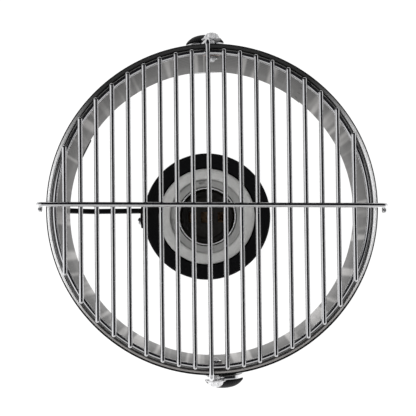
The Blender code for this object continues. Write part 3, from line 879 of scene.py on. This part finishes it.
class LAMP_OT_guard(Maker):
    """Make the guard: its ring, straight wires, middle wire, cross wire and welds"""

    bl_idname = "lamp.guard"
    bl_label = "Guard"

    def make(self):
        radius = sizes().wire_radius
        low, high = head_box("guard_ring")
        inner, outer = radii_about("guard_ring")
        self.ring_radius, self.ring_height = (inner + outer) / 2, (low.z + high.z) / 2
        circle = arc_points((self.ring_radius, self.ring_height), radius, 0, 345, 23)
        put("fine_guard_ring", turned(circle, 192), "guard", "wire_chrome", ["guard_ring"])
        for node in WIRE_NODES:
            if node != MIDDLE_WIRE:
                self.make_wire(node, radius)
        self.make_middle_wire(radius)
        self.make_cross_wire(radius)
        self.make_welds(radius)

    def make_wire(self, node, radius):
        low, high = head_box(node)
        middle = (low + high) / 2
        tip = radius * 0.8
        start = (low.x + tip, middle.y, middle.z)
        rod = Rod(start, (1, 0, 0), radius).straight(high.x - low.x - 2 * tip)
        put(f"fine_{node}", rod.end(), "guard", "wire_chrome", [node])

    def make_middle_wire(self, radius):
        """It runs over the bead and turns down beside each guard screw, a little aside."""
        low, high = head_box(MIDDLE_WIRE)
        height, bend = high.z - radius, 2.0 * MM
        drop = high.z - low.z - radius - bend - radius
        y = high.y - radius
        start = (low.x + radius, y, low.z + radius * 0.8)
        rod = Rod(start, UP, radius).straight(height - bend - start[2])
        rod.bend(math.radians(90), bend, (0, 1, 0)).straight(high.x - low.x - 2 * (radius + bend))
        rod.bend(math.radians(90), bend, (0, 1, 0)).straight(drop + radius * 0.2)
        shape = rod.end()
        lean = (high.y - low.y - 2 * radius) / (height - bend - low.z)
        for vertex in shape.verts:
            vertex.co.y -= lean * max(0.0, height - bend - vertex.co.z)
        put(f"fine_{MIDDLE_WIRE}", shape, "guard", "wire_chrome", [MIDDLE_WIRE])

    def make_cross_wire(self, radius):
        """It hooks over the bead at both ends and curls to one side."""
        node = "cross_wire"
        low, high = head_box(node)
        bend, height = 2.0 * MM, high.z - radius
        x, skew = CROSS_LINE
        reach = (high.y - low.y) / 2 - radius
        turn = Matrix.Rotation(skew, 4, "Z")
        rod = Rod((x + 3.0 * MM, -reach, low.z + radius * 1.3), (-1, 0, -0.25), radius)
        rod.straight(0.8 * MM).bend(math.radians(104), 1.4 * MM, (0, 1, 0))
        rod.straight(max(0.2 * MM, height - bend - rod.place.z))
        rod.heading = Vector(UP)
        rod.bend(math.radians(90), bend, (-1, 0, 0)).straight(2 * (reach - bend))
        rod.bend(math.radians(90), bend, (-1, 0, 0)).straight(2.2 * MM)
        rod.bend(math.radians(104), 1.4 * MM, (0, -1, 0)).straight(0.8 * MM)
        shape = rod.end()
        move(shape, turn)
        put("fine_cross_wire", shape, "guard", "wire_chrome", [node])

    def make_welds(self, radius):
        """Small flattened beads where wires cross."""
        shapes = []
        ring, height = self.ring_radius, self.ring_height + radius
        x, skew = CROSS_LINE
        top = head_box("cross_wire")[1].z - 2 * radius
        for node in WIRE_NODES:
            y = middle_of(node).y
            if abs(y) < ring:
                half = math.sqrt(ring**2 - y**2)
                shapes += [
                    self.weld((side * half, y, height - 0.2 * radius), 0.6 * radius) for side in (-1, 1)
                ]
            shapes.append(self.weld((x - y * math.tan(skew), y, top - 0.2 * radius), 0.55 * radius))
        put("guard_welds", joined(shapes), "guard", "wire_chrome")

    @staticmethod
    def weld(place, radius):
        shape = bmesh.new()
        bmesh.ops.create_uvsphere(shape, u_segments=12, v_segments=6, radius=radius)
        bmesh.ops.scale(shape, vec=(1.25, 1.25, 0.75), verts=shape.verts[:])
        bmesh.ops.translate(shape, vec=place, verts=shape.verts[:])
        return shape


class LAMP_OT_guard_screws(Maker):
    """Make the guard screws with their petal caps and thread, the inner nuts and fibre washers"""

    bl_idname = "lamp.guard_screws"
    bl_label = "Guard Screws"

    def make(self):
        for label, side in SIDES:
            place = outward(side, SCREW_Y, SCREW_Z)
            low, high = head_box(f"guard_screw_{label}")
            tip, end = sorted((abs(low.x), abs(high.x)))
            self.make_screw(label, place, tip, end)
            low, high = sorted(abs(corner.x) for corner in head_box(f"fibre_washer_{label}"))
            washer = sleeve_outline(1.8 * MM, 4.3 * MM, low, high, 0.3 * MM)
            put(f"fine_fibre_washer_{label}", turned(washer, 48, place), "head", "pressed_fibre",
                [f"fibre_washer_{label}"])
            low, high = sorted(abs(corner.x) for corner in head_box(f"guard_nut_{label}"))
            put(f"fine_guard_nut_{label}", hexagon(4.9 * MM, low, high, 1.75 * MM, place), "head",
                "bright_chrome", [f"guard_nut_{label}"])

    def make_screw(self, label, place, tip, end):
        head = end - 3.2 * MM
        shank = 1.32 * MM
        body = fillet([(0, tip, 0), (shank - 0.35 * MM, tip, 0.1 * MM), (shank, tip + 0.4 * MM, 0.2 * MM),
                       (shank, head - 0.2 * MM, 0), (0, head - 0.2 * MM, 0)])
        shapes = [turned(body, 32, place), self.petal_cap(head, end, place),
                  hexagon(5.4 * MM, head - 0.05 * MM, head + 0.5 * MM, 0.8 * MM, place)]
        ridge = thread(shank, tip + 0.5 * MM, head - 0.3 * MM, 0.5 * MM, 0.16 * MM)
        move(ridge, place)
        shapes.append(ridge)
        for shape in shapes:
            bmesh.ops.recalc_face_normals(shape, faces=shape.faces[:])
        put(f"fine_guard_screw_{label}", joined(shapes), f"screw_{label}", "bright_zinc",
            [f"guard_screw_{label}"], out=False)

    @staticmethod
    def petal_cap(head, end, place, petals=10):
        """A domed cap pressed into petals that end in a ragged flange."""
        rise = end - head
        outline = [Vector((0, head + 0.3 * MM)), Vector((4.3 * MM, head + 0.1 * MM)),
                   Vector((4.5 * MM, head + 0.35 * MM)), Vector((4.2 * MM, head + 0.7 * MM))]
        outline += arc_points((0.9 * MM, end - 2.5 * MM), 2.5 * MM, 8, 90, 7)
        outline += [Vector((0, end))]
        shape = turned(outline, petals * 8)
        for vertex in shape.verts:
            turn = math.atan2(vertex.co.y, vertex.co.x)
            outward_share = min(1.0, vertex.co.xy.length / (4.2 * MM))
            fold = (0.5 + 0.5 * math.cos(turn * petals)) ** 1.5
            vertex.co.xy *= 1 - 0.14 * fold * outward_share**2
            vertex.co.z -= 0.10 * rise * fold * outward_share * (vertex.co.z > head + 0.5 * MM)
        move(shape, place)
        return shape


class LAMP_OT_knobs(Maker):
    """Make the two clamp knobs, with flutes round their rims"""

    bl_idname = "lamp.knobs"
    bl_label = "Clamp Knobs"

    def make(self):
        flutes = sizes().knob_flutes
        for label, side in SIDES:
            low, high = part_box(f"clamp_knob_{label}")
            start, end = sorted((abs(low.x), abs(high.x)))
            radius, bore = (high.z - low.z) / 2, 2.8 * MM
            outline = fillet([
                (bore, start, 0.2 * MM), (radius - 0.2 * MM, start, 0.15 * MM),
                (radius, start + 0.35 * MM, 0.3 * MM), (radius - 0.75 * MM, start + 1.35 * MM, 0.7 * MM),
                (radius - 2.25 * MM, start + 2.6 * MM, 1.1 * MM),
                (radius - 4.15 * MM, start + 3.5 * MM, 1.2 * MM), (1.4 * MM, end, 1.0 * MM)], 5)
            outline += [Vector((0, end)), Vector((0, start + 1.9 * MM)), Vector((bore, start + 1.9 * MM))]
            shape = turned(outline, flutes * 4)
            for vertex in shape.verts:
                turn = math.atan2(vertex.co.y, vertex.co.x)
                rim = vertex.co.xy.length
                if rim > radius - 2.6 * MM:
                    vertex.co.xy *= 1 - 0.022 * (0.5 + 0.5 * math.cos(turn * flutes)) ** 3
            place = outward(side, 0, PIVOT.z)
            move(shape, place)
            put(f"fine_clamp_knob_{label}", shape, f"knob_{label}", "moulded_black",
                [f"clamp_knob_{label}"], in_head=False)


class LAMP_OT_pivots(Maker):
    """Make the welded pivot studs, with their thread, and the spacers on them"""

    bl_idname = "lamp.pivots"
    bl_label = "Pivots"

    def make(self):
        for label, side in SIDES:
            place = outward(side, 0, PIVOT.z)
            low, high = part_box(f"pivot_stud_{label}")
            weld, end = sorted((abs(low.x), abs(high.x)))
            shank = 2.25 * MM
            outline = fillet([(0, weld, 0), (4.2 * MM, weld, 0.2 * MM), (4.2 * MM, weld + 0.8 * MM, 0.3 * MM),
                              (shank, weld + 0.9 * MM, 0.1 * MM), (shank, end, 0.4 * MM), (0, end, 0)])
            ridge = thread(shank, weld + 4.5 * MM, end - 0.4 * MM, 0.8 * MM, 0.24 * MM)
            move(ridge, place)
            bead = turned(
                [(point.x, point.y) for point in arc_points((4.2 * MM, weld), 0.5 * MM, -60, 90, 6)]
                + [(3.9 * MM, weld - 0.2 * MM)], 40, place)
            put(f"fine_pivot_stud_{label}", joined([turned(outline, 40, place), ridge, bead]), "head",
                "bright_chrome", [f"pivot_stud_{label}"], in_head=False)
            low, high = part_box(f"pivot_spacer_{label}")
            start, end = sorted((abs(low.x), abs(high.x)))
            spacer = sleeve_outline(2.8 * MM, 6 * MM, start, end, 0.4 * MM)
            put(f"fine_pivot_spacer_{label}", turned(spacer, 48, place), "stand", "moulded_black",
                [f"pivot_spacer_{label}"], in_head=False)


class LAMP_OT_stand(Maker):
    """Make the hoop, its feet, the legs and the foot screws"""

    bl_idname = "lamp.stand"
    bl_label = "Stand"

    def make(self):
        radius = sizes().hoop_rod
        outer = radii_about("base_hoop")[1]
        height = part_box("base_hoop")[0].z + radius
        circle = arc_points((outer - radius, height), radius, 0, 345, 23)
        put("fine_base_hoop", turned(circle, 192), "stand", "bright_chrome", ["base_hoop"],
            in_head=False)
        for index in range(4):
            node = f"rubber_foot_{index + 1}"
            put(f"fine_{node}", refined(node, 0.25 * MM, 2, flat=3.0), "stand", "foot_rubber",
                [node], in_head=False)
        for label, side in SIDES:
            put(f"fine_leg_{label}", refined(f"leg_{label}", 0.35 * MM), "stand", "bright_chrome",
                [f"leg_{label}"], in_head=False)
            self.make_foot_screw(label, side, outer - radius)

    @staticmethod
    def make_foot_screw(label, side, ring):
        low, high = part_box(f"foot_screw_{label}")
        head = high.z - 1.8 * MM
        shank, rim = 1.4 * MM, 2.2 * MM
        outline = fillet([
            (0, low.z, 0), (shank, low.z, 0.2 * MM), (shank, head, 0), (rim, head, 0.1 * MM),
            (rim, head + 0.8 * MM, 0.4 * MM), (1.5 * MM, high.z - 0.1 * MM, 0.6 * MM), (0, high.z, 0)])
        place = Matrix.Translation((side * ring, 0, 0))
        screw = put(f"fine_foot_screw_{label}", turned(outline, 40, place), "stand", "bright_chrome",
                    [f"foot_screw_{label}"], in_head=False)
        centre = Vector((side * ring, 0, high.z))
        slots = [
            block(centre - Vector((*half, 1.1 * MM)), centre + Vector((*half, 1 * MM)), 0.08 * MM, 1)
            for half in ((1.3 * MM, 0.22 * MM), (0.22 * MM, 1.3 * MM))
        ]
        carved(screw, *slots)


class LAMP_OT_arm(Maker):
    """Make the flat arm and the screws that hold the cup to it"""

    bl_idname = "lamp.arm"
    bl_label = "Lamp Arm"

    def make(self):
        put("fine_lamp_arm", refined("lamp_arm", 0.25 * MM, 2, flat=0.5), "head", "black_paint",
            ["lamp_arm"], in_head=False)
        for index in (1, 2):
            node = f"arm_screw_{index}"
            low, high = head_box(node)
            middle = (low + high) / 2
            place = Matrix.Translation((middle.x, 0, middle.z)) @ Matrix.Rotation(math.radians(90), 4, "X")
            inner, end = -high.y, -low.y
            head = end - 1.3 * MM
            shank, rim = 1 * MM, 1.9 * MM
            outline = fillet([
                (0, inner, 0), (shank, inner, 0.2 * MM), (shank, head, 0), (rim, head, 0.1 * MM),
                (rim, head + 0.5 * MM, 0.3 * MM), (1.1 * MM, end - 0.1 * MM, 0.5 * MM), (0, end, 0)])
            screw = put(f"fine_{node}", turned(outline, 32, place), "head", "bright_chrome", [node])
            slot = block((middle.x - 0.25 * MM, -end - MM, middle.z - 3 * MM),
                         (middle.x + 0.25 * MM, -end + 0.5 * MM, middle.z + 3 * MM), 0.05 * MM, 1)
            move(slot, HEAD_MATRIX)
            carved(screw, slot)


class LAMP_OT_cup(Maker):
    """Make the black cup with its rolled front edge, and the cable inlet behind it"""

    bl_idname = "lamp.cup"
    bl_label = "Lamp Cup"

    def make(self):
        low, high = head_box("lamp_cup")
        radius = (high.x - low.x) / 2
        inner = radii_about("porcelain_body", HOLDER)[1] + 0.6 * MM
        wall, front, rear = 1.2 * MM, high.z, low.z
        waist = rear + 9 * MM
        outline = fillet([
            (inner, front - wall, 0.2 * MM), (inner, front, 0.4 * MM), (radius, front, 1.8 * MM),
            (radius, waist, 3.5 * MM), (23 * MM, rear + 1.5 * MM, 3 * MM), (19 * MM, rear, 2 * MM),
            (5.2 * MM, rear, 0.3 * MM), (5.2 * MM, rear + wall, 0.3 * MM), (19 * MM, rear + wall, 1.5 * MM),
            (22.5 * MM, rear + 2.8 * MM, 2.5 * MM), (radius - wall, waist + 0.6 * MM, 3 * MM),
            (radius - wall, front - wall, 0.8 * MM)], 6)
        place = Matrix.Translation(HOLDER)
        put("fine_lamp_cup", turned(outline, 128, place), "head", "black_paint", ["lamp_cup"])
        low, high = head_box("threaded_nipple")
        tube = sleeve_outline(3.4 * MM, 4.35 * MM, low.z, high.z, 0.3 * MM)
        ridge = thread(4.35 * MM, low.z + 0.3 * MM, high.z - 0.3 * MM, 0.9 * MM, 0.25 * MM)
        move(ridge, place)
        put("fine_threaded_nipple", joined([turned(tube, 48, place), ridge]), "head", "old_brass",
            ["threaded_nipple"])
        low, high = head_box("cable_inlet_nut")
        put("fine_cable_inlet_nut", hexagon(14.6 * MM, low.z, high.z, 4.9 * MM, place), "head",
            "moulded_black", ["cable_inlet_nut"])


class LAMP_OT_lampholder(Maker):
    """Make the porcelain body, the screw shell and the contacts in the socket"""

    bl_idname = "lamp.lampholder"
    bl_label = "Lampholder"

    def make(self):
        place = Matrix.Translation(HOLDER)
        self.make_porcelain(place)
        self.make_shell(place)
        self.make_contacts(place)

    def make_porcelain(self, place):
        low, high = head_box("porcelain_body")
        outer, front, rear = radii_about("porcelain_body", HOLDER)[1], high.z, low.z
        recess, floor = front - 3.5 * MM, front - 24 * MM
        seat, rim = 15.0 * MM, 18.6 * MM
        outline = fillet([
            (rim, recess, 0.9 * MM), (rim, front, 1.3 * MM), (outer, front, 2.4 * MM),
            (outer, rear + 6 * MM, 1 * MM), (outer - 3 * MM, rear, 1.5 * MM), (3.2 * MM, rear, 0.3 * MM),
            (3.2 * MM, floor, 0.3 * MM), (seat, floor, 0.8 * MM), (seat, recess, 0.5 * MM)], 6)
        body = put("fine_porcelain_body", turned(outline, 128, place), "head", "glazed_porcelain",
                   ["porcelain_body"])
        notches = []
        for turn in (0, 90, 180, 270):
            around = Matrix.Rotation(math.radians(turn + 8), 4, "Z")
            notch = block(
                (16.4 * MM, -1.3 * MM, recess - 1.6 * MM), (18.5 * MM, 1.3 * MM, recess + 2 * MM),
                0.35 * MM, 2)
            move(notch, HEAD_MATRIX @ place @ around)
            notches.append(notch)
        carved(body, *notches)
        low, high = head_box("contact_base")
        base = fillet([
            (0, low.z, 0), (11 * MM, low.z, 0.3 * MM), (11 * MM, high.z, 0.6 * MM), (0, high.z, 0)])
        # Its finish is near black, as painted shade deep in the socket.
        put("fine_contact_base", turned(base, 64, place), "head", "socket_floor_painted_shade",
            ["contact_base"])

    @staticmethod
    def make_shell(place):
        """A thin sleeve whose wall winds in and out as a rolled thread, with a curled lip."""
        size = sizes()
        low, high = head_box("screw_shell")
        outer = radii_about("screw_shell", HOLDER)[1]
        pitch, depth = size.thread_pitch, size.thread_depth
        start, end = low.z + 0.6 * MM, high.z - 2.2 * MM
        per_turn, steps = 12, 72
        count = round((end - start) / pitch + 1.5) * per_turn
        shape = bmesh.new()
        base = start - 1.25 * pitch
        points = []
        for index in range(count + 1):
            swing = 0.5 - 0.5 * math.cos(2 * math.pi * index / per_turn)
            radius = outer - 0.25 * MM - depth * swing
            points.append(shape.verts.new((radius, 0, base + index * pitch / per_turn)))
        edges = [shape.edges.new(pair) for pair in zip(points, points[1:])]
        bmesh.ops.spin(
            shape, geom=points + edges, cent=(0, 0, 0), axis=UP, angle=2 * math.pi,
            dvec=(0, 0, pitch / steps), steps=steps)
        bmesh.ops.remove_doubles(shape, verts=shape.verts[:], dist=1e-6)
        for height, normal in ((start, (0, 0, -1)), (end, (0, 0, 1))):
            bmesh.ops.bisect_plane(
                shape, geom=shape.verts[:] + shape.edges[:] + shape.faces[:], plane_co=(0, 0, height),
                plane_no=normal, clear_outer=True)
        bmesh.ops.recalc_face_normals(shape, faces=shape.faces[:])
        bmesh.ops.solidify(shape, geom=shape.faces[:], thickness=0.35 * MM)
        lip = high.z
        sleeve = fillet([
            (outer - 0.7 * MM, end - 0.5 * MM, 0), (outer - 0.05 * MM, end - 0.3 * MM, 0.1 * MM),
            (outer - 0.05 * MM, lip - 0.5 * MM, 0.3 * MM), (outer - 0.2 * MM, lip, 0.2 * MM),
            (outer - 0.75 * MM, lip, 0.2 * MM), (outer - 0.7 * MM, lip - 0.6 * MM, 0.2 * MM)])
        groove = turned(arc_points((outer - 0.35 * MM, end + 0.25 * MM), 0.5 * MM, 0, 330, 11), 96)
        both = joined([shape, turned(sleeve, 96), groove])
        move(both, place)
        # A bright ring along the lip is a painted highlight on the shaded shell.
        bright = turned(arc_points((outer - 0.45 * MM, lip - 0.10 * MM), 0.32 * MM, 0, 330, 11), 96, place)
        put("shell_lip_painted_highlight", bright, "head", "bright_zinc")
        put("fine_screw_shell", both, "head", "plated_shell", ["screw_shell"], smooth=50)

    def make_contacts(self, place):
        """Leaf contacts: bent strips with rounded ends, the side ones each on a rivet."""
        low, high = head_box("centre_contact")
        floor = low.z
        path = [(-3.3, 0.2), (1.0, 0.25), (2.6, 0.8), (3.0, 1.9), (2.0, 2.7), (0.0, 2.9), (-2.6, 2.2)]
        leaf = self.leaf([(y * MM, floor + z * MM) for y, z in path], 5.6 * MM)
        bore, under, over = 0.8 * MM, floor + 2 * MM, floor + 4 * MM
        drill = [(0, under), (bore, under), (bore, over), (0, over)]
        hole = turned(drill, 20, HEAD_MATRIX @ place, closed=False)
        move(leaf, place)
        piece = put("fine_centre_contact", leaf, "head", "old_brass", ["centre_contact"])
        carved(piece, hole)
        for label, side in (("left", -1), ("right", 1)):
            low, high = head_box(f"side_contact_{label}")
            middle = (low + high) / 2
            reach = (high.y - low.y) / 2
            path = [(-0.95, 0.15), (0.2, 0.2), (0.75, 0.55), (0.9, 0.95)]
            leaf = self.leaf([(side * y * reach, floor + z * 1.1 * MM) for y, z in path], 5.4 * MM)
            bmesh.ops.translate(leaf, vec=(middle.x, middle.y, 0), verts=leaf.verts[:])
            rivet = bmesh.new()
            bmesh.ops.create_uvsphere(rivet, u_segments=20, v_segments=10, radius=1.1 * MM)
            bmesh.ops.scale(rivet, vec=(1, 1, 0.5), verts=rivet.verts[:])
            bmesh.ops.translate(rivet, vec=(middle.x, middle.y, floor + 0.5 * MM), verts=rivet.verts[:])
            put(f"fine_side_contact_{label}", joined([leaf, rivet]), "head", "old_brass",
                [f"side_contact_{label}"])

    @staticmethod
    def leaf(path, width, thickness=0.35 * MM):
        shape = bmesh.new()
        points = [shape.verts.new((-width / 2, y, z)) for y, z in path]
        edges = [shape.edges.new(pair) for pair in zip(points, points[1:])]
        made = bmesh.ops.extrude_edge_only(shape, edges=edges)["geom"]
        verts = [item for item in made if isinstance(item, bmesh.types.BMVert)]
        bmesh.ops.translate(shape, vec=(width, 0, 0), verts=verts)
        bmesh.ops.recalc_face_normals(shape, faces=shape.faces[:])
        bmesh.ops.solidify(shape, geom=shape.faces[:], thickness=thickness)
        bevel(shape, shape.edges[:], 0.06 * MM, 1)
        return shape


SENSOR_WIDTH = 36
FLOOR_HALF = 3.0


class LAMP_OT_stage(Maker):
    """Make the camera, the floor, the tent of light with its dark stretch overhead, and two soft lights"""

    bl_idname = "lamp.stage"
    bl_label = "Stage"

    def make(self):
        self.make_camera(bpy.context.scene.lamp_stage)
        self.make_floor()
        self.make_world()
        self.make_lights()
        bpy.context.scene.view_settings.view_transform = "Standard"

    @staticmethod
    def make_camera(stage):
        """Straight over the drum, a little to one side, with the wires upright in the picture."""
        turn = stage.roll
        right = Vector((math.sin(turn), math.cos(turn), 0))
        up = Vector((-math.cos(turn), math.sin(turn), 0))
        front = Vector((0, 0, DRUM_HIGH.z))
        spot = front + UP * stage.distance + right * stage.across - up * stage.down
        target = front + right * stage.aim_across - up * stage.aim_down
        forward = (target - spot).normalized()
        side = forward.cross(up).normalized()
        above = side.cross(forward)
        basis = Matrix((side, above, -forward)).transposed().to_4x4()
        camera = bpy.data.cameras.new("camera")
        camera.lens = stage.lens
        camera.sensor_width = SENSOR_WIDTH
        camera.clip_start = 0.01
        made = bpy.data.objects.new("camera", camera)
        made.matrix_world = HEAD_MATRIX @ Matrix.Translation(spot) @ basis
        link(made)
        bpy.context.scene.camera = made

    @staticmethod
    def make_floor():
        shape = bmesh.new()
        bmesh.ops.create_grid(shape, x_segments=1, y_segments=1, size=FLOOR_HALF)
        mesh = bpy.data.meshes.new("floor")
        shape.to_mesh(mesh)
        shape.free()
        floor = bpy.data.objects.new("floor", mesh)
        mesh.materials.append(make_floor_finish())
        link(floor)

    @staticmethod
    def make_world():
        """White all round to the eye; to the metal, pale at the sides and dark overhead."""
        world = bpy.data.worlds.new("light_tent")
        world.use_nodes = True
        bpy.context.scene.world = world
        tree = world.node_tree
        tree.nodes.clear()
        graph = Graph(tree)
        ray = graph.node("ShaderNodeTexCoord")
        x, y, z = graph.parts(ray)
        lean = graph.node("ShaderNodeMath", {"operation": "ARCTAN2"}, {0: y, 1: z})
        strip = lean.between(-0.58, -0.38) * lean.between(1.15, 1.40, 1.0, 0.0)
        strip = strip * x.between(0.24, 0.42, 1.0, 0.0)
        behind = x.between(-0.34, -0.14, 1.0, 0.0) * z.between(-0.4, -0.1)
        dark = (strip + behind).clamped()
        ahead = graph.mix(x.between(0.35, 0.6), (0.92, 0.92, 0.93), (0.55, 0.55, 0.55))
        tent = graph.mix(dark, ahead, (0.012, 0.012, 0.014))
        seen = graph.node("ShaderNodeLightPath", output=0)
        colour = graph.mix(seen, tent, (1.0, 1.0, 1.0))
        glow = graph.node("ShaderNodeBackground", None, {"Color": colour, "Strength": 1.0})
        output = tree.nodes.new("ShaderNodeOutputWorld")
        tree.links.new(glow.socket, output.inputs["Surface"])

    @staticmethod
    def make_lights():
        """Soft light from above, which the metal doesn't mirror."""
        for name, place, size, power in (
            ("soft_top", (-0.05, -0.10, 0.75), 0.45, 4.5),
            ("soft_left", (0.1, -0.7, 0.45), 0.4, 1.0),
        ):
            light = bpy.data.lights.new(name, "AREA")
            light.energy = power
            light.size = size
            made = bpy.data.objects.new(name, light)
            made.location = place
            made.rotation_euler = (PIVOT - Vector(place)).to_track_quat("-Z", "Y").to_euler()
            made.visible_glossy = False
            link(made)


STEPS = (
    LAMP_OT_finishes, LAMP_OT_drum, LAMP_OT_guard, LAMP_OT_guard_screws, LAMP_OT_knobs, LAMP_OT_pivots,
    LAMP_OT_stand, LAMP_OT_arm, LAMP_OT_cup, LAMP_OT_lampholder, LAMP_OT_stage,
)


class LAMP_PT_panel(bpy.types.Panel):
    """Lists the lamp's steps in the sidebar"""

    bl_idname = "LAMP_PT_panel"
    bl_label = "Fan Lamp"
    bl_space_type = "VIEW_3D"
    bl_region_type = "UI"
    bl_category = "Fan Lamp"

    def draw(self, context):
        scene = context.scene
        for group in (scene.lamp_sizes, scene.lamp_colours, scene.lamp_stage):
            box = self.layout.box()
            for name in group.__annotations__:
                box.prop(group, name)
        for step in STEPS:
            self.layout.operator(step.bl_idname)


GROUPS = {"lamp_sizes": LampSizes, "lamp_colours": LampColours, "lamp_stage": StageSettings}
CLASSES = (*GROUPS.values(), *STEPS, LAMP_PT_panel)


def register():
    for item in CLASSES:
        bpy.utils.register_class(item)
    for name, group in GROUPS.items():
        setattr(bpy.types.Scene, name, PointerProperty(type=group))


def unregister():
    for name in GROUPS:
        delattr(bpy.types.Scene, name)
    for item in reversed(CLASSES):
        bpy.utils.unregister_class(item)


def main():
    register()
    for step in STEPS:
        getattr(bpy.ops.lamp, step.bl_idname.split(".")[1])()


if __name__ == "__main__":
    main()
